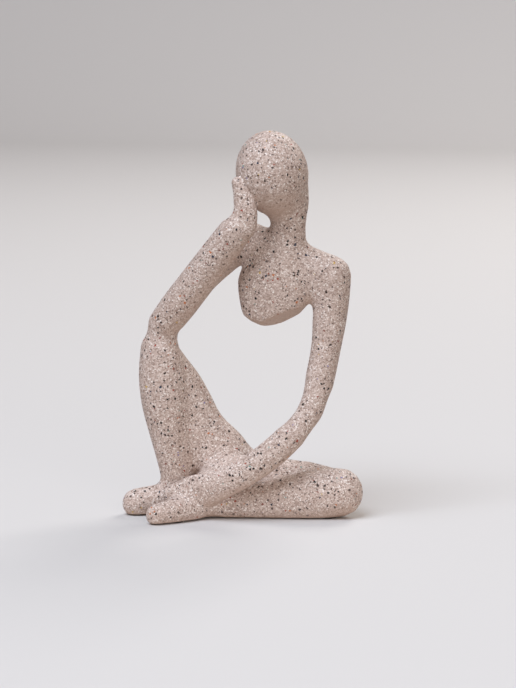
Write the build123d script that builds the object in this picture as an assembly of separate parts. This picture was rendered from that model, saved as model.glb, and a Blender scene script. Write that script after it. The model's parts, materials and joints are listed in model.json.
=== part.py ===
from build123d import *
import math
import os

os.makedirs("parts", exist_ok=True)

# Seated thinking figure in stone-chip casting resin, cast in limb sections on steel pins
# Millimetres, +Z up, +X to the folded knee, -Y to the front, origin under the middle of the figure

# Joint places of the figure
head_x = 19.75
head_y = 2.2
head_z = 230.6
neck_x = 29.85
neck_y = 9.2
neck_z = 190.0
nape_x = 27.9
nape_y = 6.2
nape_z = 224.0
hem_x = 16.05
hem_y = 7.2
hem_z = 135.0
far_shoulder_x = 0.45
far_shoulder_y = 16.2
far_shoulder_z = 184.6
near_shoulder_x = 58.05
near_shoulder_y = 10.2
near_shoulder_z = 162.8
raised_elbow_x = -54.35
raised_elbow_y = 1.2
raised_elbow_z = 126.7
raised_wrist_x = -1.35
raised_wrist_y = -14.8
raised_wrist_z = 193.6
resting_elbow_x = 46.95
resting_elbow_y = -3.8
resting_elbow_z = 72.8
resting_palm_x = -44.55
resting_palm_y = -12.8
resting_palm_z = 14.8
raised_knee_x = -56.15
raised_knee_y = 2.2
raised_knee_z = 113.6
raised_ankle_x = -44.15
raised_ankle_y = 5.2
raised_ankle_z = 15.0
raised_toe_x = -71.35
raised_toe_y = -5.8
raised_toe_z = 7.6
hip_x = 6.45
hip_y = 22.3
hip_z = 19.4
folded_knee_x = 65.45
folded_knee_y = 8.2
folded_knee_z = 17.2
folded_ankle_x = -22.25
folded_ankle_y = -7.8
folded_ankle_z = 8.7
folded_toe_x = -51.35
folded_toe_y = -35.3
folded_toe_z = 6.2

# Thickness of each casting, across the front view and from front to back
head_lean_x = -1.6
head_wide = 48.0
head_deep = 50.0
head_tall = 56.0
neck_wide = 23.2
neck_deep = 21.6
bust_wide = 51.0
bust_deep = 28.0
bust_hem_round = 7.5
girdle_wide = 25.6
girdle_deep = 24.4
resting_arm_wide = 26.6
resting_arm_deep = 24.6
resting_elbow_wide = 20.4
resting_elbow_deep = 18.8
resting_hand_deep = 11.0
raised_upper_arm_wide = 26.4
raised_upper_arm_deep = 23.6
raised_forearm_wide = 23.0
raised_forearm_deep = 21.0
raised_hand_wide = 20.0
raised_hand_deep = 12.0
raised_hand_length = 30.0
raised_shin_wide = 30.0
raised_shin_deep = 28.0
raised_thigh_wide = 34.0
raised_thigh_deep = 31.0
raised_foot_wide = 20.6
raised_foot_deep = 18.4
hips_wide = 39.0
hips_deep = 34.0
hips_length = 18.0
folded_thigh_wide = 32.0
folded_thigh_deep = 27.0
folded_shin_wide = 34.6
folded_shin_deep = 28.0
folded_ankle_wide = 20.0
folded_ankle_deep = 17.0

# Bow of each limb off its straight line at half length
resting_upper_bow_x = 3.2
resting_upper_bow_y = 4.2
resting_forearm_bow_x = 5.4
resting_forearm_bow_y = -9.0
resting_forearm_bow_z = -9.6
raised_upper_bow_y = 3.5
raised_upper_bow_z = 5.6
raised_hand_bow_x = 2.8
raised_shin_bow_x = -1.7
raised_shin_bow_y = -1.5
raised_thigh_bow_x = -9.8
raised_thigh_bow_z = -3.5
folded_shin_bow_y = 2.0
folded_shin_bow_z = -1.5

# Slanted underside of the bust
hem_cut_drop = 6.2
hem_cut_tilt = 22.0
hem_cut_roll = 24.0

# Where the pieces of a bent limb lie beside each other
far_seam_share = 0.14
near_seam_share = 0.8
raised_elbow_apart = 4.0
raised_knee_apart = 6.0
folded_thigh_apart = 6.8
folded_knee_apart = 12.0
folded_thigh_short = -7.0
palm_heel_out = 5.1
palm_heel_front = -2.0
palm_heel_rise = 2.0
fingers_out = -4.3
fingers_back = 3.0

# Steel inside the castings, the bond round it, and the felt pads
joint_pin_across = 6.0
joint_pin_length = 24.0
limb_pin_across = 4.0
limb_pin_length = 14.0
hand_pin_across = 3.0
hand_pin_length = 10.0
rod_across = 3.0
bond_gap = 0.15
pad_thick = 0.8
seat_pad_across = 16.0
knee_pad_across = 12.0
foot_pad_across = 10.0

# Where pins, rods and pads lie along their limbs
elbow_pin_share = 0.3
knee_pin_share = 0.22
folded_knee_pin_share = 0.12
hand_pin_share = 0.85
foot_pin_share = 0.3
cheek_pin_share = 0.55
wrist_pin_share = 0.2
raised_forearm_rod_shares = (0.42, 0.86)
raised_upper_rod_shares = (0.15, 0.58)
resting_upper_rod_shares = (0.16, 0.82)
resting_forearm_rod_shares = (0.15, 0.62)
raised_shin_rod_shares = (0.34, 0.84)
knee_pad_share = 0.1
foot_pad_share = 0.62

# Spacing of the sections along a limb
station_gap = 5.5

# Half-round ends step down through these angles, in degrees from the limb's end section
dome_angles = (30.0, 55.0, 78.0)
level_angles = (8.0, 22.0, 36.0, 50.0, 64.0, 77.0, 90.0, 103.0, 116.0, 130.0, 144.0, 158.0, 172.0)


def place(x, y, z):
    """A joint place of the figure."""
    return Vector(x, y, z)


def on_line(start, end, bow, share):
    """The centre of a bowed limb at a share of its length."""
    return start + (end - start) * share + bow * (4 * share * (1 - share))


def heading(start, end, bow, share):
    """The direction of a bowed limb at a share of its length."""
    return ((end - start) + bow * (4 * (1 - 2 * share))).normalized()


def section(centre, along, wide, deep):
    """An elliptical section square to a limb, its long way in the front view."""
    across = Vector(-along.Z, 0, along.X)
    return Plane(origin=centre, x_dir=across, z_dir=along) * Ellipse(wide / 2, deep / 2)


def dome(centre, along, wide, deep, rise):
    """Sections that round off the end of a limb."""
    turns = [math.radians(angle) for angle in dome_angles]
    return [
        section(centre + along * (rise * math.sin(turn)), along, wide * math.cos(turn), deep * math.cos(turn))
        for turn in turns
    ]


def thickness(shares, share):
    """The wide and deep shares at one place along a limb, on a smooth curve through its table."""
    below = max(i for i in range(len(shares) - 1) if shares[i][0] <= share)
    before = shares[max(below - 1, 0)]
    start = shares[below]
    end = shares[below + 1]
    after = shares[min(below + 2, len(shares) - 1)]
    step = (share - start[0]) / (end[0] - start[0])
    found = []
    for axis in (1, 2):
        leave = (end[axis] - before[axis]) / (end[0] - before[0]) * (end[0] - start[0])
        arrive = (after[axis] - start[axis]) / (after[0] - start[0]) * (end[0] - start[0])
        rest = 1 - step
        found.append(
            start[axis] * rest**2 * (1 + 2 * step)
            + leave * step * rest**2
            + end[axis] * step**2 * (3 - 2 * step)
            - arrive * step**2 * rest
        )
    return found


def limb(start, end, bow, thick_shares, wide, deep, start_face=None, end_face=None, start_rise=None):
    """A tapering limb. An end with a face direction is cut flat, and any other end is domed."""
    count = max(round((end - start).length / station_gap), 3)
    sections = []
    for station in range(count + 1):
        share = station / count
        along = heading(start, end, bow, share)
        if start_face is not None:
            along = (along * share + start_face * (1 - share) ** 3).normalized()
        if end_face is not None:
            along = (along * (1 - share) + end_face * share**3).normalized()
        wide_share, deep_share = thickness(thick_shares, share)
        sections.append(section(on_line(start, end, bow, share), along, wide * wide_share, deep * deep_share))
    if start_face is None:
        first_wide = wide * thick_shares[0][1]
        first_deep = deep * thick_shares[0][2]
        rise = start_rise or (first_wide + first_deep) / 4
        tail = dome(start, heading(start, end, bow, 0), first_wide, first_deep, -rise)
        sections = tail[::-1] + sections
    if end_face is None:
        last_wide = wide * thick_shares[-1][1]
        last_deep = deep * thick_shares[-1][2]
        rise = (last_wide + last_deep) / 4
        sections += dome(end, heading(start, end, bow, 1), last_wide, last_deep, rise)
    return loft(sections, ruled=True)


def beyond(body, origin, direction):
    """The part of a body on the far side of a plane."""
    return split(body, bisect_by=Plane(origin=origin, z_dir=direction), keep=Keep.TOP)


def main_solid(body):
    """The largest solid of a trimmed casting."""
    return max(body.solids(), key=lambda solid: solid.volume)


def bar(centre, direction, across, length):
    """A straight round bar, centred on a place."""
    return Plane(origin=centre, z_dir=direction) * Cylinder(across / 2, length)


def toward(origin, target, distance):
    """A place at a distance from the first place toward the second, and the direction."""
    direction = (target - origin).normalized()
    return origin + direction * distance, direction


no_bow = Vector(0, 0, 0)
up = Vector(0, 0, 1)

head_place = place(head_x, head_y, head_z)
head_half = place(head_lean_x, 0, head_tall / 2)
neck_place = place(neck_x, neck_y, neck_z)
nape_place = place(nape_x, nape_y, nape_z)
hem_place = place(hem_x, hem_y, hem_z)
far_shoulder = place(far_shoulder_x, far_shoulder_y, far_shoulder_z)
near_shoulder = place(near_shoulder_x, near_shoulder_y, near_shoulder_z)
raised_elbow = place(raised_elbow_x, raised_elbow_y, raised_elbow_z)
raised_wrist = place(raised_wrist_x, raised_wrist_y, raised_wrist_z)
resting_elbow = place(resting_elbow_x, resting_elbow_y, resting_elbow_z)
resting_palm = place(resting_palm_x, resting_palm_y, resting_palm_z)
raised_knee = place(raised_knee_x, raised_knee_y, raised_knee_z)
raised_ankle = place(raised_ankle_x, raised_ankle_y, raised_ankle_z)
raised_toe = place(raised_toe_x, raised_toe_y, raised_toe_z)
hip = place(hip_x, hip_y, hip_z)
folded_knee = place(folded_knee_x, folded_knee_y, folded_knee_z)
folded_ankle = place(folded_ankle_x, folded_ankle_y, folded_ankle_z)
folded_toe = place(folded_toe_x, folded_toe_y, folded_toe_z)

# Shares: how far along the limb, then the width and the depth there
neck_shares = [
    (0, 1, 1),
    (0.15, 1, 1),
    (0.3, 1.05, 1.02),
    (0.45, 1.19, 1.08),
    (0.65, 1.28, 1.13),
    (1, 1.3, 1.14),
]
bust_shares = [
    (0, 0.72, 0.74),
    (0.18, 0.9, 0.92),
    (0.37, 1, 1),
    (0.58, 0.92, 0.94),
    (0.76, 0.68, 0.84),
    (0.9, 0.48, 0.78),
    (1, neck_wide / bust_wide, neck_deep / bust_deep),
]
girdle_shares = [(0, 1, 1), (0.5, 1, 1), (1, 1, 1)]
resting_upper_shares = [
    (0, 1, 1),
    (0.19, 0.92, 0.92),
    (0.35, 0.84, 0.86),
    (0.52, 0.75, 0.79),
    (0.75, 0.74, 0.77),
    (1, resting_elbow_wide / resting_arm_wide, resting_elbow_deep / resting_arm_deep),
]
palm_deep_share = resting_hand_deep / resting_elbow_deep
resting_forearm_shares = [
    (0, 1, 1),
    (0.16, 0.95, 0.95),
    (0.34, 0.96, 0.93),
    (0.52, 0.94, 0.88),
    (0.7, 1, 0.78),
    (0.85, 1.16, 0.66),
    (1, 0.84, palm_deep_share),
]
raised_upper_shares = [(0, 1, 1), (0.3, 0.86, 0.88), (0.55, 0.8, 0.84), (0.8, 0.78, 0.82), (1, 0.76, 0.8)]
raised_forearm_shares = [(0, 0.95, 0.96), (0.2, 1.02, 1.02), (0.45, 1.01, 1), (0.7, 1, 0.97), (1, 0.96, 0.92)]
raised_hand_shares = [(0, 0.95, 1), (0.35, 0.84, 0.92), (0.7, 0.62, 0.76), (1, 0.42, 0.58)]
raised_shin_shares = [
    (0, 0.86, 0.82),
    (0.18, 1.03, 0.95),
    (0.38, 1.03, 1),
    (0.6, 0.84, 0.9),
    (0.82, 0.68, 0.78),
    (1, 0.7, 0.74),
]
raised_thigh_shares = [
    (0, 0.6, 0.64),
    (0.24, 1.12, 0.82),
    (0.42, 1.22, 0.9),
    (0.6, 1.16, 0.94),
    (0.78, 1.28, 1),
    (1, 1.16, 0.9),
]
raised_foot_shares = [(0, 1, 1), (0.55, 1, 1), (1, 0.95, 0.94)]
hips_shares = [(0, 1, 1), (0.5, 1.02, 1.02), (1, 0.97, 0.98)]
folded_thigh_shares = [(0, 1, 1), (0.5, 1, 1), (1, 0.84, 0.88)]
folded_shin_shares = [
    (0, 0.94, 0.96),
    (0.21, 1, 1),
    (0.44, 0.87, 0.92),
    (0.64, 0.75, 0.8),
    (0.86, 0.63, 0.66),
    (1, folded_ankle_wide / folded_shin_wide, folded_ankle_deep / folded_shin_deep),
]
folded_foot_shares = [(0, 1, 1), (0.4, 0.93, 1), (0.78, 0.82, 0.94), (1, 0.72, 0.8)]


resting_upper_bow = place(resting_upper_bow_x, resting_upper_bow_y, 0)
resting_forearm_bow = place(resting_forearm_bow_x, resting_forearm_bow_y, resting_forearm_bow_z)
raised_upper_bow = place(0, raised_upper_bow_y, raised_upper_bow_z)
raised_hand_bow = place(raised_hand_bow_x, 0, 0)
raised_shin_bow = place(raised_shin_bow_x, raised_shin_bow_y, 0)
raised_thigh_bow = place(raised_thigh_bow_x, 0, raised_thigh_bow_z)
folded_shin_bow = place(0, folded_shin_bow_y, folded_shin_bow_z)

neck_rise = ((neck_place - hem_place).normalized() + (nape_place - neck_place).normalized()).normalized()
girdle_along = (near_shoulder - far_shoulder).normalized()
resting_elbow_along = (
    heading(near_shoulder, resting_elbow, resting_upper_bow, 1)
    + heading(resting_elbow, resting_palm, resting_forearm_bow, 0)
).normalized()
folded_ankle_along = (
    heading(folded_knee, folded_ankle, folded_shin_bow, 1)
    + heading(folded_ankle, folded_toe, no_bow, 0)
).normalized()
hips_half = Vector(hips_length / 2, 0, 0)
hips_left = hip - hips_half
hips_right = hip + hips_half
far_seam = on_line(far_shoulder, near_shoulder, no_bow, far_seam_share)
near_seam = on_line(far_shoulder, near_shoulder, no_bow, near_seam_share)
raised_elbow_back = raised_elbow + place(0, raised_elbow_apart, 0)
raised_knee_back = raised_knee + place(0, raised_knee_apart, 0)
folded_thigh_start = hips_right + place(0, folded_thigh_apart, 0)
folded_thigh_end = folded_knee + place(folded_thigh_short, folded_knee_apart, 0)
raised_heel = place(raised_ankle_x, raised_ankle_y, raised_foot_wide / 2 + pad_thick)
joint_pin = (joint_pin_across, joint_pin_length)
limb_pin = (limb_pin_across, limb_pin_length)
hand_pin = (hand_pin_across, hand_pin_length)
palm_heel = raised_wrist + place(palm_heel_out, palm_heel_front, palm_heel_rise)
raised_fingertips = palm_heel + place(fingers_out, fingers_back, raised_hand_length)


def make_head():
    """Smooth egg on a plain neck, cut flat at the neck seam."""
    levels = []
    for angle in level_angles:
        turn = math.radians(angle)
        centre = head_place - head_half * math.cos(turn)
        levels.append(section(centre, up, head_wide * math.sin(turn), head_deep * math.sin(turn)))
    egg = loft(levels, ruled=True)
    neck = limb(neck_place, nape_place, no_bow, neck_shares, neck_wide, neck_deep, start_face=neck_rise)
    return egg + neck


def make_girdle():
    """The bar of the shoulders, from one shoulder to the other."""
    return limb(far_shoulder, near_shoulder, no_bow, girdle_shares, girdle_wide, girdle_deep)


def make_torso():
    """Bust with a slanted underside, with the middle of the girdle."""
    bust = limb(
        hem_place,
        neck_place,
        no_bow,
        bust_shares,
        bust_wide,
        bust_deep,
        end_face=neck_rise,
        start_rise=bust_hem_round,
    )
    slant = up.rotate(Axis.X, -hem_cut_tilt).rotate(Axis.Y, -hem_cut_roll)
    bust = beyond(bust, hem_place - up * hem_cut_drop, slant)
    middle = beyond(beyond(make_girdle(), far_seam, girdle_along), near_seam, -girdle_along)
    return bust + middle


def make_raised_upper_arm():
    """Far shoulder and upper arm, hidden behind the raised forearm."""
    arm = limb(
        far_shoulder,
        raised_elbow_back,
        raised_upper_bow,
        raised_upper_shares,
        raised_upper_arm_wide,
        raised_upper_arm_deep,
    )
    return beyond(arm + make_girdle(), far_seam, -girdle_along)


def make_raised_forearm():
    """Straight forearm from the elbow on the knee to the bent wrist."""
    return limb(
        raised_elbow, raised_wrist, no_bow, raised_forearm_shares, raised_forearm_wide, raised_forearm_deep
    )


def make_raised_hand():
    """Flat paddle hand against the cheek."""
    return limb(
        palm_heel, raised_fingertips, raised_hand_bow, raised_hand_shares, raised_hand_wide, raised_hand_deep
    )


def make_resting_upper_arm():
    """Near shoulder and upper arm, cut flat at the elbow."""
    arm = limb(
        near_shoulder,
        resting_elbow,
        resting_upper_bow,
        resting_upper_shares,
        resting_arm_wide,
        resting_arm_deep,
        end_face=resting_elbow_along,
    )
    return beyond(arm + make_girdle(), near_seam, girdle_along)


def make_resting_forearm():
    """Curved forearm that ends in the hand over both ankles."""
    return limb(
        resting_elbow,
        resting_palm,
        resting_forearm_bow,
        resting_forearm_shares,
        resting_elbow_wide,
        resting_elbow_deep,
        start_face=resting_elbow_along,
    )


def make_raised_shin():
    """Upright lower leg from the knee to the ankle."""
    return limb(
        raised_knee, raised_ankle, raised_shin_bow, raised_shin_shares, raised_shin_wide, raised_shin_deep
    )


def make_raised_foot():
    """Foot of the upright leg, pointing out to the side."""
    return limb(raised_heel, raised_toe, no_bow, raised_foot_shares, raised_foot_wide, raised_foot_deep)


def make_raised_thigh():
    """Thigh that rises from the hips to the raised knee."""
    return limb(
        raised_knee_back,
        hips_left,
        raised_thigh_bow,
        raised_thigh_shares,
        raised_thigh_wide,
        raised_thigh_deep,
    )


def make_hips():
    """Seat of the figure."""
    return limb(hips_left, hips_right, no_bow, hips_shares, hips_wide, hips_deep)


def make_folded_thigh():
    """Thigh that lies behind the folded lower leg."""
    return limb(
        folded_thigh_start,
        folded_thigh_end,
        no_bow,
        folded_thigh_shares,
        folded_thigh_wide,
        folded_thigh_deep,
    )


def make_folded_shin():
    """Lower leg that lies along the front, cut flat at the ankle."""
    return limb(
        folded_knee,
        folded_ankle,
        folded_shin_bow,
        folded_shin_shares,
        folded_shin_wide,
        folded_shin_deep,
        end_face=folded_ankle_along,
    )


def make_folded_foot():
    """Foot of the folded leg, pointing out to the front."""
    return limb(
        folded_ankle,
        folded_toe,
        no_bow,
        folded_foot_shares,
        folded_ankle_wide,
        folded_ankle_deep,
        start_face=folded_ankle_along,
    )


# Castings in the order they are fitted, each with the earlier ones that it is coped round
castings = {
    "torso": (make_torso(), ()),
    "head": (make_head(), ()),
    "raised_shin": (make_raised_shin(), ()),
    "raised_foot": (make_raised_foot(), ("raised_shin",)),
    "folded_shin": (make_folded_shin(), ()),
    "folded_foot": (make_folded_foot(), ()),
    "hips": (make_hips(), ("folded_shin",)),
    "folded_thigh": (make_folded_thigh(), ("folded_shin", "hips")),
    "raised_forearm": (make_raised_forearm(), ("raised_shin",)),
    "raised_hand": (make_raised_hand(), ("head", "raised_forearm")),
    "raised_upper_arm": (make_raised_upper_arm(), ("torso", "raised_shin", "raised_forearm")),
    "raised_thigh": (
        make_raised_thigh(),
        ("raised_shin", "raised_forearm", "raised_upper_arm", "folded_shin", "hips"),
    ),
    "resting_upper_arm": (make_resting_upper_arm(), ("torso",)),
    "resting_forearm": (make_resting_forearm(), ("folded_shin", "folded_foot", "raised_shin")),
}
fitted = {}
for name, (casting, neighbours) in castings.items():
    body = beyond(casting, up * pad_thick, up)
    for neighbour in neighbours:
        body = body - fitted[neighbour]
    fitted[name] = main_solid(body)


# Centre-line places where neighbouring limbs are pinned
forearm_by_elbow = on_line(raised_elbow, raised_wrist, no_bow, elbow_pin_share)
upper_arm_by_elbow = on_line(far_shoulder, raised_elbow_back, raised_upper_bow, 1 - elbow_pin_share)
shin_by_knee = on_line(raised_knee, raised_ankle, raised_shin_bow, knee_pin_share)
thigh_by_knee = on_line(raised_knee_back, hips_left, raised_thigh_bow, knee_pin_share)
folded_shin_by_knee = on_line(folded_knee, folded_ankle, folded_shin_bow, folded_knee_pin_share)
folded_thigh_by_knee = on_line(folded_thigh_start, folded_thigh_end, no_bow, 1 - folded_knee_pin_share)
hand_over_foot = on_line(resting_elbow, resting_palm, resting_forearm_bow, hand_pin_share)
foot_under_hand = on_line(folded_ankle, folded_toe, no_bow, foot_pin_share)
palm_on_cheek = on_line(palm_heel, raised_fingertips, raised_hand_bow, cheek_pin_share)
palm_by_wrist = on_line(palm_heel, raised_fingertips, raised_hand_bow, wrist_pin_share)
thigh_from_hips = hips_left - heading(raised_knee_back, hips_left, raised_thigh_bow, 1)
knee_top_half = raised_shin_wide * raised_shin_shares[0][1] / 2
shin_foot_half = raised_shin_wide * raised_shin_shares[-1][1] / 2

# Where each pin lies and points
neck_joint = (neck_place, neck_rise)
far_shoulder_joint = (far_seam, girdle_along)
near_shoulder_joint = (near_seam, girdle_along)
raised_elbow_joint = toward(forearm_by_elbow, upper_arm_by_elbow, raised_forearm_deep / 2)
elbow_on_knee_joint = toward(raised_knee, raised_elbow, knee_top_half)
resting_elbow_joint = (resting_elbow, resting_elbow_along)
raised_wrist_joint = toward(raised_wrist, palm_by_wrist, raised_forearm_wide / 2)
cheek_joint = toward(palm_on_cheek, head_place, hand_pin_length / 2)
hand_on_foot_joint = toward(foot_under_hand, hand_over_foot, folded_ankle_wide / 2)
raised_hip_joint = toward(hips_left, thigh_from_hips, hips_wide / 2)
folded_hip_joint = toward(folded_thigh_start, folded_thigh_end, hips_wide / 2)
raised_knee_joint = toward(shin_by_knee, thigh_by_knee, raised_shin_deep / 2)
folded_knee_joint = toward(folded_shin_by_knee, folded_thigh_by_knee, folded_shin_deep / 2)
raised_ankle_joint = toward(raised_heel, raised_toe, shin_foot_half)
folded_ankle_joint = (folded_ankle, folded_ankle_along)

# Each pin: its node, its joint, its size, and the two castings that it holds together
pins = [
    ("neck_pin", neck_joint, joint_pin, ("torso", "head")),
    ("shoulder_pins", far_shoulder_joint, joint_pin, ("torso", "raised_upper_arm")),
    ("shoulder_pins", near_shoulder_joint, joint_pin, ("torso", "resting_upper_arm")),
    ("raised_elbow_pins", raised_elbow_joint, limb_pin, ("raised_forearm", "raised_upper_arm")),
    ("raised_elbow_pins", elbow_on_knee_joint, limb_pin, ("raised_shin", "raised_forearm")),
    ("resting_elbow_pin", resting_elbow_joint, joint_pin, ("resting_upper_arm", "resting_forearm")),
    ("hand_pins", raised_wrist_joint, hand_pin, ("raised_forearm", "raised_hand")),
    ("hand_pins", cheek_joint, hand_pin, ("raised_hand", "head")),
    ("hand_pins", hand_on_foot_joint, hand_pin, ("folded_foot", "resting_forearm")),
    ("hip_pins", raised_hip_joint, joint_pin, ("hips", "raised_thigh")),
    ("hip_pins", folded_hip_joint, joint_pin, ("hips", "folded_thigh")),
    ("raised_knee_pin", raised_knee_joint, limb_pin, ("raised_shin", "raised_thigh")),
    ("folded_knee_pin", folded_knee_joint, hand_pin, ("folded_shin", "folded_thigh")),
    ("ankle_pins", raised_ankle_joint, limb_pin, ("raised_shin", "raised_foot")),
    ("ankle_pins", folded_ankle_joint, limb_pin, ("folded_shin", "folded_foot")),
]

# Each rod: the casting that holds it, its limb's line, and the shares of the line that it reaches
rods = {
    "raised_forearm": (raised_elbow, raised_wrist, no_bow, raised_forearm_rod_shares),
    "raised_upper_arm": (far_shoulder, raised_elbow_back, raised_upper_bow, raised_upper_rod_shares),
    "resting_upper_arm": (near_shoulder, resting_elbow, resting_upper_bow, resting_upper_rod_shares),
    "resting_forearm": (resting_elbow, resting_palm, resting_forearm_bow, resting_forearm_rod_shares),
    "raised_shin": (raised_knee, raised_ankle, raised_shin_bow, raised_shin_rod_shares),
}

# Each pad: the place that it lies under, and its width
pads = {
    "hips_pad": (hip, seat_pad_across),
    "folded_knee_pad": (on_line(folded_knee, folded_ankle, folded_shin_bow, knee_pad_share), knee_pad_across),
    "front_foot_pad": (on_line(folded_ankle, folded_toe, no_bow, foot_pad_share), foot_pad_across),
    "back_foot_pad": (on_line(raised_heel, raised_toe, no_bow, foot_pad_share), foot_pad_across),
}

inserts = {}
for name, (centre, direction), (across, length), joined in pins:
    hole = bar(centre, direction, across + 2 * bond_gap, length + 2 * bond_gap)
    for casting_name in joined:
        fitted[casting_name] = fitted[casting_name] - hole
    inserts.setdefault(name, []).append(bar(centre, direction, across, length))

for name, (start, end, bow, (from_share, to_share)) in rods.items():
    first = on_line(start, end, bow, from_share)
    last = on_line(start, end, bow, to_share)
    run = last - first
    middle = first + run / 2
    fitted[name] = fitted[name] - bar(middle, run, rod_across + 2 * bond_gap, run.length + 2 * bond_gap)
    inserts[f"{name}_rod"] = [bar(middle, run, rod_across, run.length)]

for name, (under, across) in pads.items():
    inserts[name] = [bar(place(under.X, under.Y, pad_thick / 2), up, across, pad_thick)]

for name, body in fitted.items():
    export_step(body, f"parts/{name}.step")
for name, bodies in inserts.items():
    export_step(Compound(children=bodies), f"parts/{name}.step")
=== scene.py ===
import json
import bmesh
import bpy
import numpy as np
from mathutils import Matrix, Vector
from mathutils.bvhtree import BVHTree


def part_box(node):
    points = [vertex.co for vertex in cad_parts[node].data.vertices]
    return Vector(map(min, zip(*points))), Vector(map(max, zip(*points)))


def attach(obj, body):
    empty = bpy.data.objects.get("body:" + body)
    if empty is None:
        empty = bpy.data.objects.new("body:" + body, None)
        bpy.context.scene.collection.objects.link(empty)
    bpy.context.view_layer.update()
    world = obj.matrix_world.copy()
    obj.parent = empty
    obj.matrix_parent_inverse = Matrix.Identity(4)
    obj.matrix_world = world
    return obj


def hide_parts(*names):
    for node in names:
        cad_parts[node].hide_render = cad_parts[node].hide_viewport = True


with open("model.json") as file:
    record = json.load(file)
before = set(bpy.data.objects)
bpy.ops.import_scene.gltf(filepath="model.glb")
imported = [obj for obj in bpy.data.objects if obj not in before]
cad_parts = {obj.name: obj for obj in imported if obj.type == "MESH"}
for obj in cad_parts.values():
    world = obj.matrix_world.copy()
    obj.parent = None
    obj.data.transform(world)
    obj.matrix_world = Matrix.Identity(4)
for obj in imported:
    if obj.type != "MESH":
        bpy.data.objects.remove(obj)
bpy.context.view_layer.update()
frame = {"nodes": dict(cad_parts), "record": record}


# Steel pins and rods
# Plain drawn bar, cut to length and bonded into holes across each joint and down each thin limb.
# All of it is sealed inside the castings, so it keeps its modelled shape and only gets its finish.
steel_grey = (0.52, 0.52, 0.53, 1)
steel_dark = (0.4, 0.4, 0.42, 1)
draw_mark_scale = 900.0
draw_mark_stretch = (1.0, 1.0, 0.05)
draw_mark_depth = 0.00003
steel_roughness = 0.38


def new_material(name):
    """A bare material with its Principled shader and the coordinates its pattern reads."""
    material = bpy.data.materials.new(name)
    material.use_nodes = True
    tree = material.node_tree
    shader = tree.nodes["Principled BSDF"]
    place = tree.nodes.new("ShaderNodeTexCoord")
    return material, tree, shader, place


def drawn_steel():
    """Grey steel with fine marks from the drawing die."""
    material, tree, shader, place = new_material("drawn_steel")
    nodes, links = tree.nodes, tree.links
    mapping = nodes.new("ShaderNodeMapping")
    mapping.inputs["Scale"].default_value = draw_mark_stretch
    noise = nodes.new("ShaderNodeTexNoise")
    noise.inputs["Scale"].default_value = draw_mark_scale
    ramp = nodes.new("ShaderNodeValToRGB")
    ramp.color_ramp.elements[0].color = steel_dark
    ramp.color_ramp.elements[1].color = steel_grey
    bump = nodes.new("ShaderNodeBump")
    bump.inputs["Distance"].default_value = draw_mark_depth
    shader.inputs["Metallic"].default_value = 1.0
    shader.inputs["Roughness"].default_value = steel_roughness
    links.new(place.outputs["Object"], mapping.inputs["Vector"])
    links.new(mapping.outputs["Vector"], noise.inputs["Vector"])
    links.new(noise.outputs["Fac"], ramp.inputs["Fac"])
    links.new(noise.outputs["Fac"], bump.inputs["Height"])
    links.new(ramp.outputs["Color"], shader.inputs["Base Color"])
    links.new(bump.outputs["Normal"], shader.inputs["Normal"])
    return material


def nodes_with(slot_name):
    """The names of the modelled pieces that take their finish from one slot."""
    return [entry["node"] for entry in frame["record"]["subparts"] if entry["material_slot"] == slot_name]


def finish_node(node, material):
    """Gives a modelled piece that keeps its shape its finish."""
    piece = frame["nodes"][node]
    piece.data.materials.clear()
    piece.data.materials.append(material)


steel = drawn_steel()
for node in nodes_with("pin_steel"):
    finish_node(node, steel)


# Felt pads
# Discs punched from pressed wool felt and glued under the flat-cut places that the figure stands on.
# They keep their modelled shape, and show only as a thin dark line under the stone.
felt_dark = (0.014, 0.013, 0.013, 1)
felt_light = (0.05, 0.046, 0.044, 1)
felt_fibre_scale = 1800.0
felt_fibre_detail = 4.0
felt_fibre_curl = 2.0
felt_fibre_depth = 0.00012
felt_roughness = 0.95
felt_sheen = 0.3


def pressed_felt():
    """Dark felt with short matted fibres."""
    material, tree, shader, place = new_material("pressed_felt")
    nodes, links = tree.nodes, tree.links
    noise = nodes.new("ShaderNodeTexNoise")
    noise.inputs["Scale"].default_value = felt_fibre_scale
    noise.inputs["Detail"].default_value = felt_fibre_detail
    noise.inputs["Distortion"].default_value = felt_fibre_curl
    ramp = nodes.new("ShaderNodeValToRGB")
    ramp.color_ramp.elements[0].color = felt_dark
    ramp.color_ramp.elements[1].color = felt_light
    bump = nodes.new("ShaderNodeBump")
    bump.inputs["Distance"].default_value = felt_fibre_depth
    shader.inputs["Roughness"].default_value = felt_roughness
    shader.inputs["Sheen Weight"].default_value = felt_sheen
    links.new(place.outputs["Object"], noise.inputs["Vector"])
    links.new(noise.outputs["Fac"], ramp.inputs["Fac"])
    links.new(noise.outputs["Fac"], bump.inputs["Height"])
    links.new(ramp.outputs["Color"], shader.inputs["Base Color"])
    links.new(bump.outputs["Normal"], shader.inputs["Normal"])
    return material


felt = pressed_felt()
for node in nodes_with("pad_felt"):
    finish_node(node, felt)


# Bonded figure
# The castings are pinned and bonded together, the seams are filled with the same stone mix, and the joints are
# rubbed down to soft fillets, so that the figure reads as one smooth piece with only a few soft creases left.
castings = nodes_with("stone_resin")
fill_step = 0.0012
skin_step = 0.0007
joint_reach = 0.036
weld_distance = 0.00001
seam_spread = 0.0014
work_share = 0.5
work_reach = 1.5
facing_passes = 5
skin_passes = 5
skin_draw_in = 0.5
skin_push_back = -0.52
standing_height = min(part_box(node)[0].z for node in castings)

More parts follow.
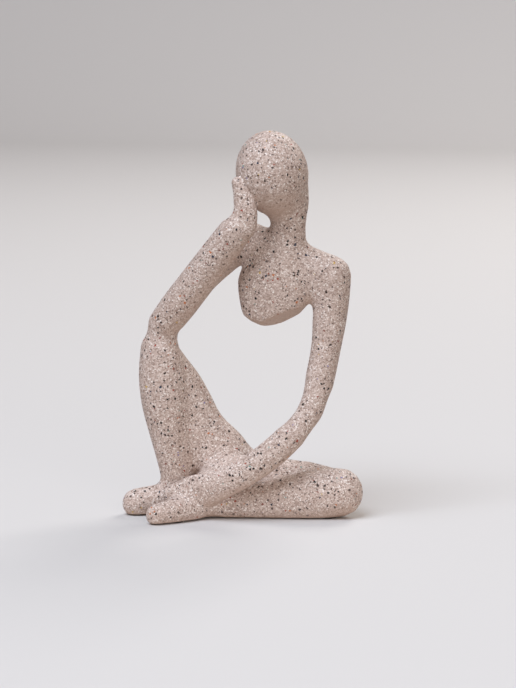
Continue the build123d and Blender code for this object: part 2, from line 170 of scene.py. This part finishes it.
# Joints that are filled and rubbed down: the two castings, how far the filler spreads from the joint, and how far
# the rubbing does. A casting named twice has its own hollows filled.
filled_joints = (
    ("head", "head", 0.009, 0),
    ("head", "torso", 0.010, 0.003),
    ("torso", "torso", 0.008, 0),
    ("torso", "resting_upper_arm", 0.012, 0.003),
    ("torso", "raised_upper_arm", 0.009, 0.003),
    ("raised_upper_arm", "raised_forearm", 0.006, 0.003),
    ("raised_forearm", "raised_hand", 0.006, 0.003),
    ("raised_forearm", "raised_thigh", 0.007, 0.005),
    ("raised_forearm", "raised_shin", 0.012, 0.003),
    ("raised_upper_arm", "raised_shin", 0.008, 0.003),
    ("raised_upper_arm", "raised_thigh", 0.006, 0.003),
    ("raised_thigh", "raised_shin", 0.007, 0.003),
    ("resting_upper_arm", "resting_forearm", 0.008, 0.007),
    ("raised_thigh", "hips", 0.010, 0.004),
    ("folded_thigh", "hips", 0.008, 0.004),
    ("folded_thigh", "folded_shin", 0.004, 0.002),
    ("raised_thigh", "folded_shin", 0.006, 0.003),
    ("resting_forearm", "folded_shin", 0.0025, 0.0015),
    ("resting_forearm", "raised_shin", 0.012, 0.003),
    ("resting_forearm", "raised_thigh", 0.012, 0.003),
    ("resting_forearm", "folded_foot", 0.004, 0.002),
    ("raised_shin", "raised_foot", 0.006, 0.003),
    ("folded_shin", "folded_foot", 0.006, 0.003),
)

# Stone mix packed in behind the resting forearm, up to the thigh: the middle, half its length, width and thickness,
# and the direction of its length
packed_mix = (
    ((-0.014, -0.003, 0.029), (0.024, 0.012, 0.0085), (1, 0, 0.5)),
)
mix_segments = 48
mix_rings = 24

# The crease that gets no filler, where the hand lies on the cheek
open_crease = ("raised_hand", "head")
open_crease_reach = 0.003

# Creases pressed in again after the rubbing: the two castings, the depth, and the reach on each side
pressed_creases = (
    ("raised_hand", "head", 0.0012, 0.0022),
    ("resting_forearm", "folded_shin", 0.0008, 0.0035),
    ("resting_forearm", "folded_foot", 0.0008, 0.0035),
    ("raised_forearm", "torso", 0.0008, 0.0025),
    ("folded_thigh", "folded_shin", 0.0008, 0.0035),
    ("raised_thigh", "raised_shin", 0.0005, 0.004),
)


def bonded_castings():
    """All the castings as one outer surface of even small faces."""
    joined = bmesh.new()
    for node in castings:
        joined.from_mesh(frame["nodes"][node].data)
    for middle, half, along in packed_mix:
        turned = Vector(along).to_track_quat("X", "Z").to_matrix().to_4x4()
        packed = Matrix.Translation(middle) @ turned @ Matrix.Diagonal((*half, 1))
        bmesh.ops.create_uvsphere(
            joined,
            u_segments=mix_segments,
            v_segments=mix_rings,
            radius=1,
            matrix=packed,
        )
    bmesh.ops.remove_doubles(joined, verts=joined.verts, dist=weld_distance)
    mesh = bpy.data.meshes.new("bonded_figure")
    joined.to_mesh(mesh)
    joined.free()
    return mesh


def even_faces(mesh, step):
    """A surface made again of even small faces, with every overlap gone."""
    figure = bpy.data.objects.new("bonded_figure", mesh)
    bpy.context.scene.collection.objects.link(figure)
    remesh = figure.modifiers.new("even_faces", "REMESH")
    remesh.mode = "VOXEL"
    remesh.voxel_size = step
    bpy.context.view_layer.update()
    even = bpy.data.meshes.new_from_object(figure.evaluated_get(bpy.context.evaluated_depsgraph_get()))
    bpy.data.objects.remove(figure)
    return even


def keep_largest_shell(mesh):
    """Drops the small closed shells that the pin holes leave inside."""
    shell = bmesh.new()
    shell.from_mesh(mesh)
    shell.verts.ensure_lookup_table()
    unseen = set(range(len(shell.verts)))
    largest = set()
    while unseen:
        island = {unseen.pop()}
        front = list(island)
        while front:
            vertex = shell.verts[front.pop()]
            for edge in vertex.link_edges:
                other = edge.other_vert(vertex).index
                if other in unseen:
                    unseen.discard(other)
                    island.add(other)
                    front.append(other)
        if len(island) > len(largest):
            largest = island
    inner = [vertex for vertex in shell.verts if vertex.index not in largest]
    bmesh.ops.delete(shell, geom=inner, context="VERTS")
    shell.to_mesh(mesh)
    shell.free()


def corners(mesh):
    """The places of a mesh's vertices as rows."""
    flat = np.empty(len(mesh.vertices) * 3, np.float32)
    mesh.vertices.foreach_get("co", flat)
    return flat.reshape(-1, 3).astype(np.float64)


def outward(mesh):
    """The direction in which each vertex faces, as rows."""
    flat = np.empty(len(mesh.vertices) * 3, np.float32)
    mesh.vertices.foreach_get("normal", flat)
    return flat.reshape(-1, 3)


def move_to(mesh, places):
    """Puts a mesh's vertices at these places."""
    mesh.vertices.foreach_set("co", places.astype(np.float32).ravel())
    mesh.update()


def neighbours(mesh):
    """Each edge from both its ends, and how many edges meet at each vertex."""
    flat = np.empty(len(mesh.edges) * 2, np.int32)
    mesh.edges.foreach_get("vertices", flat)
    ends = flat.reshape(-1, 2)
    here = np.concatenate([ends[:, 0], ends[:, 1]])
    there = np.concatenate([ends[:, 1], ends[:, 0]])
    return here, there, np.bincount(here, minlength=len(mesh.vertices))


def draw_in(mesh, weight, share, passes, hollows_only):
    """Draws vertices towards the middle of their neighbours. With hollows_only, round places stay as they are."""
    here, there, counts = neighbours(mesh)
    moving = np.flatnonzero(weight > 0)
    rows = np.full(len(weight), -1)
    rows[moving] = np.arange(len(moving))
    used = rows[here] >= 0
    row = rows[here[used]]
    there = there[used]
    counts = counts[moving][:, None]
    pace = share * weight[moving][:, None]
    places = corners(mesh)
    for step in range(passes):
        if hollows_only and step % facing_passes == 0:
            move_to(mesh, places)
            facing = outward(mesh)[moving]
        middles = np.stack([np.bincount(row, places[there, axis], len(moving)) for axis in range(3)], 1)
        pull = middles / counts - places[moving]
        if hollows_only:
            pull[(pull * facing).sum(1) < 0] = 0
        places[moving] += pull * pace
    move_to(mesh, places)


def passes_for(spread):
    """How many passes carry the filler this far from a crease."""
    return round((2 * spread / fill_step) ** 2)


def distances(mesh):
    """How far each vertex of a surface lies from each casting, up to the joint reach."""
    places = corners(mesh)
    apart = np.full((len(places), len(castings)), joint_reach)
    for column, node in enumerate(castings):
        data = frame["nodes"][node].data
        lowest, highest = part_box(node)
        near = (places > np.array(lowest) - joint_reach).all(1) & (places < np.array(highest) + joint_reach).all(1)
        tree = BVHTree.FromPolygons([v.co for v in data.vertices], [p.vertices for p in data.polygons])
        for row in np.flatnonzero(near):
            distance = tree.find_nearest(mesh.vertices[row].co, joint_reach)[3]
            if distance is not None:
                apart[row, column] = distance
    return apart


def from_joint(apart, first, second):
    """How far each vertex lies from the joint of two castings."""
    return np.maximum(apart[:, castings.index(first)], apart[:, castings.index(second)])


def work_joint(figure, joint, filled, spread, hollows_only):
    """Fills or rubs down the surface round a joint, out to this spread."""
    weight = np.clip(2 - joint / (work_reach * spread), 0, 1) * filled
    draw_in(figure, weight, work_share, passes_for(spread), hollows_only)


figure = even_faces(bonded_castings(), fill_step)
keep_largest_shell(figure)
apart = distances(figure)
nearest = apart.argmin(1)
filled = np.clip(from_joint(apart, *open_crease) / open_crease_reach - 0.5, 0, 1)
draw_in(figure, filled, work_share, passes_for(seam_spread), True)
for first, second, fill, rub in filled_joints:
    joint = from_joint(apart, first, second)
    beside = filled * np.isin(nearest, (castings.index(first), castings.index(second)))
    work_joint(figure, joint, beside, fill, True)
    if rub:
        work_joint(figure, joint, beside, rub, False)
figure = even_faces(figure, skin_step)
everywhere = np.ones(len(figure.vertices))
for step in range(skin_passes):
    draw_in(figure, everywhere, skin_draw_in, 1, False)
    draw_in(figure, everywhere, skin_push_back, 1, False)
apart = distances(figure)
settled = corners(figure)
for first, second, depth, reach in pressed_creases:
    press = np.clip(1 - from_joint(apart, first, second) / reach, 0, 1)
    settled -= outward(figure) * (depth * press * press * (3 - 2 * press))[:, None]
settled[:, 2] = np.maximum(settled[:, 2], standing_height)
move_to(figure, settled)


# Stone-chip finish
# Crushed stone in clear resin over the whole figure: a pinkish beige ground of fine pale grains, with scattered
# black and brown chips and a few rust, orange, yellow, green and violet ones. Surfaces that face downwards get
# painted
# shade: a darker, browner plain tone with few chips. It dries matt and faintly rough.
ground_tones = (
    (0.35, (0.51, 0.385, 0.325, 1)),
    (0.65, (0.54, 0.425, 0.375, 1)),
)
ground_patch_scale = 55.0
# Painted shade: a darker, browner plain tone laid over the chips where the surface faces down. The rows give the
# tone, where it starts, where it is full, and how much of it shows.
underside_shade = (0.5, 0.36, 0.285, 1)
underside_shade_starts = -0.25
underside_shade_full = -0.8
underside_shade_share = 0.8
grain_scale = 1250.0
grain_tones = (
    (0.0, (0.23, 0.16, 0.13, 1)),
    (0.14, (0.39, 0.29, 0.245, 1)),
    (0.5, (0.54, 0.42, 0.365, 1)),
    (0.86, (0.7, 0.59, 0.535, 1)),
    (1.0, (0.94, 0.89, 0.85, 1)),
)
grain_share = 0.8
grain_depth = 0.0001
grain_bump = 0.5
grain_roughness = (0.5, 0.75)
chip_wander_scale = 1000.0
chip_wander = 0.0022
chip_edge = 0.03
stone_gloss = 0.35

# Chips: how many cells there are to the metre, the share of the cells that hold one, the size of the smallest and
# the largest as a share of a cell, and their tones
fleck_chips = (
    740.0,
    0.32,
    (0.15, 0.36),
    ((0.0, (0.085, 0.058, 0.048, 1)), (0.35, (0.19, 0.135, 0.11, 1)), (0.7, (0.9, 0.86, 0.82, 1))),
)
colour_chips = (
    330.0,
    0.24,
    (0.12, 0.3),
    (
        (0.0, (0.3, 0.06, 0.035, 1)),
        (0.28, (0.5, 0.17, 0.06, 1)),
        (0.5, (0.22, 0.08, 0.06, 1)),
        (0.66, (0.56, 0.38, 0.1, 1)),
        (0.78, (0.16, 0.3, 0.27, 1)),
        (0.87, (0.22, 0.18, 0.36, 1)),
        (0.94, (0.82, 0.77, 0.72, 1)),
    ),
)
dark_chips = (
    430.0,
    0.34,
    (0.16, 0.43),
    (
        (0.0, (0.016, 0.011, 0.01, 1)),
        (0.4, (0.045, 0.027, 0.022, 1)),
        (0.7, (0.11, 0.075, 0.062, 1)),
        (0.9, (0.025, 0.03, 0.055, 1)),
    ),
)


def tone_ramp(tree, tones, interpolation):
    """A ramp through a table of places and colours."""
    ramp = tree.nodes.new("ShaderNodeValToRGB")
    ramp.color_ramp.interpolation = interpolation
    while len(ramp.color_ramp.elements) < len(tones):
        ramp.color_ramp.elements.new(0.5)
    for element, (position, colour) in zip(ramp.color_ramp.elements, tones):
        element.position = position
        element.color = colour
    return ramp


def crushed_places(tree, place):
    """Coordinates that are pushed about a little, so that chips cut in them have broken outlines."""
    nodes, links = tree.nodes, tree.links
    noise = nodes.new("ShaderNodeTexNoise")
    noise.inputs["Scale"].default_value = chip_wander_scale
    middle = nodes.new("ShaderNodeVectorMath")
    middle.operation = "SUBTRACT"
    middle.inputs[1].default_value = (0.5, 0.5, 0.5)
    push = nodes.new("ShaderNodeVectorMath")
    push.operation = "SCALE"
    push.inputs["Scale"].default_value = chip_wander
    pushed = nodes.new("ShaderNodeVectorMath")
    pushed.operation = "ADD"
    links.new(place.outputs["Object"], noise.inputs["Vector"])
    links.new(noise.outputs["Color"], middle.inputs[0])
    links.new(middle.outputs["Vector"], push.inputs[0])
    links.new(push.outputs["Vector"], pushed.inputs[0])
    links.new(place.outputs["Object"], pushed.inputs[1])
    return pushed.outputs["Vector"]


def mix_in(tree, under, over, mask):
    """One colour laid over another by a mask. Each may be a pattern or a fixed value."""
    mix = tree.nodes.new("ShaderNodeMix")
    mix.data_type = "RGBA"
    for name, value in (("A", under), ("B", over), ("Factor", mask)):
        if isinstance(value, bpy.types.NodeSocket):
            tree.links.new(value, mix.inputs[name])
        else:
            mix.inputs[name].default_value = value
    return mix.outputs["Result"]


def lay_chips(tree, places, under, chips):
    """Broken chips laid over a colour, in some of the cells round scattered points."""
    scale, share, (smallest, largest), tones = chips
    nodes, links = tree.nodes, tree.links
    points = nodes.new("ShaderNodeTexVoronoi")
    points.inputs["Scale"].default_value = scale
    split = nodes.new("ShaderNodeSeparateColor")
    held = nodes.new("ShaderNodeMath")
    held.operation = "LESS_THAN"
    held.inputs[1].default_value = share
    size = nodes.new("ShaderNodeMapRange")
    size.inputs["From Max"].default_value = share
    size.inputs["To Min"].default_value = smallest
    size.inputs["To Max"].default_value = largest
    inside = nodes.new("ShaderNodeMath")
    inside.operation = "SUBTRACT"
    mask = nodes.new("ShaderNodeMapRange")
    mask.inputs["From Max"].default_value = chip_edge
    shown = nodes.new("ShaderNodeMath")
    shown.operation = "MULTIPLY"
    ramp = tone_ramp(tree, tones, "CONSTANT")
    links.new(places, points.inputs["Vector"])
    links.new(points.outputs["Color"], split.inputs["Color"])
    links.new(split.outputs["Red"], held.inputs[0])
    links.new(split.outputs["Red"], size.inputs["Value"])
    links.new(size.outputs["Result"], inside.inputs[0])
    links.new(points.outputs["Distance"], inside.inputs[1])
    links.new(inside.outputs["Value"], mask.inputs["Value"])
    links.new(mask.outputs["Result"], shown.inputs[0])
    links.new(held.outputs["Value"], shown.inputs[1])
    links.new(split.outputs["Green"], ramp.inputs["Fac"])
    return mix_in(tree, under, ramp.outputs["Color"], shown.outputs["Value"])


def stone_chips():
    """The stone-chip finish, with painted shade on the surfaces that face downwards."""
    material, tree, shader, place = new_material("stone_chips")
    nodes, links = tree.nodes, tree.links
    patches = nodes.new("ShaderNodeTexNoise")
    patches.inputs["Scale"].default_value = ground_patch_scale
    ground = tone_ramp(tree, ground_tones, "LINEAR")
    grains = nodes.new("ShaderNodeTexVoronoi")
    grains.inputs["Scale"].default_value = grain_scale
    grain_split = nodes.new("ShaderNodeSeparateColor")
    grain_ramp = tone_ramp(tree, grain_tones, "LINEAR")
    links.new(place.outputs["Object"], patches.inputs["Vector"])
    links.new(patches.outputs["Fac"], ground.inputs["Fac"])
    links.new(place.outputs["Object"], grains.inputs["Vector"])
    links.new(grains.outputs["Color"], grain_split.inputs["Color"])
    links.new(grain_split.outputs["Red"], grain_ramp.inputs["Fac"])
    colour = mix_in(tree, ground.outputs["Color"], grain_ramp.outputs["Color"], grain_share)
    places = crushed_places(tree, place)
    for chips in (fleck_chips, colour_chips, dark_chips):
        colour = lay_chips(tree, places, colour, chips)
    # Painted shade: the plain brown tone covers the chips more the further down the surface faces.
    facing = nodes.new("ShaderNodeSeparateXYZ")
    underside_shade_mask = nodes.new("ShaderNodeMapRange")
    underside_shade_mask.inputs["From Min"].default_value = underside_shade_starts
    underside_shade_mask.inputs["From Max"].default_value = underside_shade_full
    underside_shade_mask.inputs["To Max"].default_value = underside_shade_share
    links.new(place.outputs["Normal"], facing.inputs["Vector"])
    links.new(facing.outputs["Z"], underside_shade_mask.inputs["Value"])
    colour = mix_in(tree, colour, underside_shade, underside_shade_mask.outputs["Result"])
    rough = nodes.new("ShaderNodeMapRange")
    rough.inputs["To Min"].default_value = grain_roughness[0]
    rough.inputs["To Max"].default_value = grain_roughness[1]
    bump = nodes.new("ShaderNodeBump")
    bump.inputs["Strength"].default_value = grain_bump
    bump.inputs["Distance"].default_value = grain_depth
    links.new(grain_split.outputs["Green"], rough.inputs["Value"])
    links.new(grain_split.outputs["Blue"], bump.inputs["Height"])
    links.new(rough.outputs["Result"], shader.inputs["Roughness"])
    links.new(bump.outputs["Normal"], shader.inputs["Normal"])
    links.new(colour, shader.inputs["Base Color"])
    shader.inputs["Specular IOR Level"].default_value = stone_gloss
    return material


stone = stone_chips()


# Castings
# Each stone-filled casting's share of the rubbed-down surface is a piece of its own, closed across its seams, so that
# the figure still comes apart where the real one was bonded. A face belongs to the casting that lies nearest to it.
share_passes = 20


def face_corners(mesh):
    """The four vertices of each face, as rows."""
    flat = np.empty(len(mesh.loops), np.int32)
    mesh.loops.foreach_get("vertex_index", flat)
    return flat.reshape(-1, 4)


def nearest_castings(mesh, apart):
    """The casting that each face belongs to, evened out over its neighbours so that the seams run smooth."""
    belongs = np.zeros(apart.shape)
    belongs[np.arange(len(belongs)), apart.argmin(1)] = 1
    here, there, counts = neighbours(mesh)
    for step in range(share_passes):
        around = np.stack([np.bincount(here, column[there]) for column in belongs.T], 1)
        belongs = (belongs + around / counts[:, None]) / 2
    return belongs[face_corners(mesh)].sum(1).argmax(1)


def part_of_figure(node, faces, places, facing):
    """One casting's share of the figure's surface, closed across its seams and lit as part of the whole."""
    used, rows = np.unique(faces, return_inverse=True)
    mesh = bpy.data.meshes.new(node + "_casting")
    mesh.from_pydata(places[used].tolist(), [], rows.reshape(-1, 4).tolist())
    skin = bmesh.new()
    skin.from_mesh(mesh)
    rims = [edge for edge in skin.edges if edge.is_boundary]
    caps = bmesh.ops.holes_fill(skin, edges=rims, sides=0)["faces"]
    bmesh.ops.poke(skin, faces=caps)
    for face in skin.faces:
        face.smooth = True
    skin.to_mesh(mesh)
    skin.free()
    cap_middles = [(0, 0, 0)] * (len(mesh.vertices) - len(used))
    mesh.normals_split_custom_set_from_vertices(facing[used].tolist() + cap_middles)
    mesh.materials.append(stone)
    piece = bpy.data.objects.new(node + "_casting", mesh)
    bpy.context.scene.collection.objects.link(piece)
    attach(piece, "root")
    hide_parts(node)


owner = nearest_castings(figure, apart)
for index, node in enumerate(castings):
    part_of_figure(node, face_corners(figure)[owner == index], corners(figure), outward(figure))


# Studio
# A plain pale floor that runs up into a backdrop behind the figure, and is no part of it. It throws less light back
# from far off than from close by, while it looks equally pale all over.
floor_colour = (0.62, 0.605, 0.595, 1)
near_bounce = (0.68, 0.64, 0.61, 1)
far_bounce = (0.28, 0.25, 0.23, 1)
near_floor = 0.1
far_floor = 0.32
floor_roughness = 0.8
floor_half = 5.0
sweep_back = 3.0
sweep_round = 0.8
sweep_segments = 24

floor_shape = bmesh.new()
rows = [floor_shape.verts.new((-floor_half, -floor_half, 0)), floor_shape.verts.new((floor_half, -floor_half, 0))]
edge = floor_shape.edges.new(rows)
moved = bmesh.ops.extrude_edge_only(floor_shape, edges=[edge])["geom"]
far = [item for item in moved if isinstance(item, bmesh.types.BMVert)]
bmesh.ops.translate(floor_shape, verts=far, vec=(0, floor_half + sweep_back, 0))
far_edge = [item for item in moved if isinstance(item, bmesh.types.BMEdge)]
swept = bmesh.ops.spin(
    floor_shape,
    geom=far_edge,
    cent=(0, sweep_back, sweep_round),
    axis=(1, 0, 0),
    angle=np.pi / 2,
    steps=sweep_segments,
)["geom_last"]
top_edge = [item for item in swept if isinstance(item, bmesh.types.BMEdge)]
raised = bmesh.ops.extrude_edge_only(floor_shape, edges=top_edge)["geom"]
top = [item for item in raised if isinstance(item, bmesh.types.BMVert)]
bmesh.ops.translate(floor_shape, verts=top, vec=(0, 0, floor_half))
bmesh.ops.recalc_face_normals(floor_shape, faces=floor_shape.faces)
for face in floor_shape.faces:
    face.smooth = True
floor_mesh = bpy.data.meshes.new("studio_floor")
floor_shape.to_mesh(floor_mesh)
floor_shape.free()
floor = bpy.data.objects.new("studio_floor", floor_mesh)
bpy.context.scene.collection.objects.link(floor)
floor_material, floor_tree, floor_shader, floor_place = new_material("studio_floor")
seen = floor_tree.nodes.new("ShaderNodeLightPath")
seen_or_mirrored = floor_tree.nodes.new("ShaderNodeMath")
seen_or_mirrored.operation = "MAXIMUM"
away = floor_tree.nodes.new("ShaderNodeVectorMath")
away.operation = "LENGTH"
fade = floor_tree.nodes.new("ShaderNodeMapRange")
fade.inputs["From Min"].default_value = near_floor
fade.inputs["From Max"].default_value = far_floor
floor_tree.links.new(floor_place.outputs["Object"], away.inputs[0])
floor_tree.links.new(away.outputs["Value"], fade.inputs["Value"])
floor_tree.links.new(seen.outputs["Is Camera Ray"], seen_or_mirrored.inputs[0])
floor_tree.links.new(seen.outputs["Is Glossy Ray"], seen_or_mirrored.inputs[1])
bounce = mix_in(floor_tree, near_bounce, far_bounce, fade.outputs["Result"])
floor_seen = mix_in(floor_tree, bounce, floor_colour, seen_or_mirrored.outputs["Value"])
floor_tree.links.new(floor_seen, floor_shader.inputs["Base Color"])
floor_shader.inputs["Roughness"].default_value = floor_roughness
floor_mesh.materials.append(floor_material)


# Light
# One broad soft box overhead and to the front left, a weak one low in front, a third behind for the back, and an even
# warm room light. The room looks pale grey where the camera sees it.
key_place = Vector((-1.1, -2.0, 4.1))
key_size = 3.2
key_power = 211.0
key_colour = (0.855, 0.935, 1.06)
fill_place = Vector((1.4, -3.0, 0.5))
fill_size = 2.2
fill_power = 44.0
fill_colour = (1, 0.95, 0.91)
back_place = Vector((1.0, 2.4, 2.2))
back_size = 1.8
back_power = 60.0
back_colour = (1, 0.97, 0.94)
room_light = 0.22
room_colour = (1, 0.8, 0.66, 1)
room_seen = (0.6, 0.59, 0.58, 1)
figure_middle = Vector((0, 0, 0.12))


def soft_box(name, place, size, power, colour):
    """A square lamp that faces the figure."""
    lamp = bpy.data.lights.new(name, "AREA")
    lamp.size = size
    lamp.energy = power
    lamp.color = colour
    holder = bpy.data.objects.new(name, lamp)
    holder.location = place
    holder.rotation_euler = (figure_middle - place).to_track_quat("-Z", "Y").to_euler()
    bpy.context.scene.collection.objects.link(holder)


soft_box("key_light", key_place, key_size, key_power, key_colour)
soft_box("fill_light", fill_place, fill_size, fill_power, fill_colour)
soft_box("back_light", back_place, back_size, back_power, back_colour)
world = bpy.data.worlds.new("studio")
world.use_nodes = True
room = world.node_tree.nodes["Background"]
room.inputs["Color"].default_value = room_colour
room.inputs["Strength"].default_value = room_light
beyond = world.node_tree.nodes.new("ShaderNodeBackground")
beyond.inputs["Color"].default_value = room_seen
looked_at = world.node_tree.nodes.new("ShaderNodeLightPath")
either = world.node_tree.nodes.new("ShaderNodeMixShader")
world.node_tree.links.new(looked_at.outputs["Is Camera Ray"], either.inputs["Fac"])
world.node_tree.links.new(room.outputs["Background"], either.inputs[1])
world.node_tree.links.new(beyond.outputs["Background"], either.inputs[2])
world.node_tree.links.new(either.outputs["Shader"], world.node_tree.nodes["World Output"].inputs["Surface"])
bpy.context.scene.world = world
bpy.context.scene.view_settings.view_transform = "Standard"


# Camera
# Two metres away, a little above the figure and ten degrees to its left-hand side, as in the photograph. It aims just
# below the figure's middle.
camera_place = Vector((0.35356, -1.94429, 0.40843))
camera_aim = Vector((0.00999, 0.0042, 0.11626))
camera_lens = 157.4

lens = bpy.data.cameras.new("camera")
lens.lens = camera_lens
camera = bpy.data.objects.new("camera", lens)
camera.location = camera_place
camera.rotation_euler = (camera_aim - camera_place).to_track_quat("-Z", "Y").to_euler()
bpy.context.scene.collection.objects.link(camera)
bpy.context.scene.camera = camera
